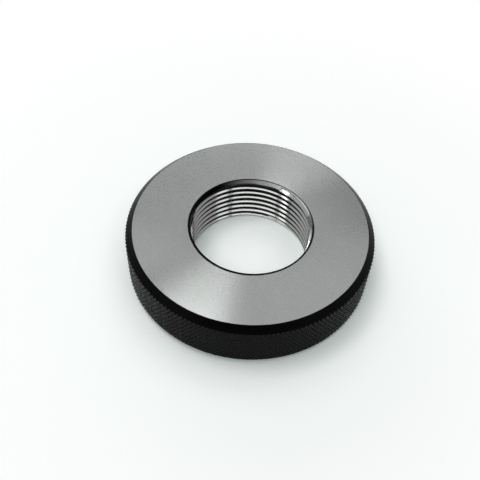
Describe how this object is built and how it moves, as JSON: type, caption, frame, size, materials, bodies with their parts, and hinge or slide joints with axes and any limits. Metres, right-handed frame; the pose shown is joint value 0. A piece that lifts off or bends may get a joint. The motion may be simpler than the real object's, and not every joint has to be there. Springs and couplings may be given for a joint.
{
  "type": "thread ring gauge",
  "caption": "Solid steel thread ring gauge: flat ground ring with a knurled rim and an internally threaded bore bevelled at both mouths.",
  "frame": {"origin": "centre of the lower ground face, on the thread's axis", "axes": "+Z along the thread's axis, up through the ring; X and Y across it"},
  "size_m": [0.071, 0.071, 0.016],
  "materials": {
    "gauge_steel": "ground satin faces, blackened knurled rim, ground bright thread"
  },
  "bodies": {
    "root": {"gauge_ring": "gauge_steel"}
  },
  "joints": []
}
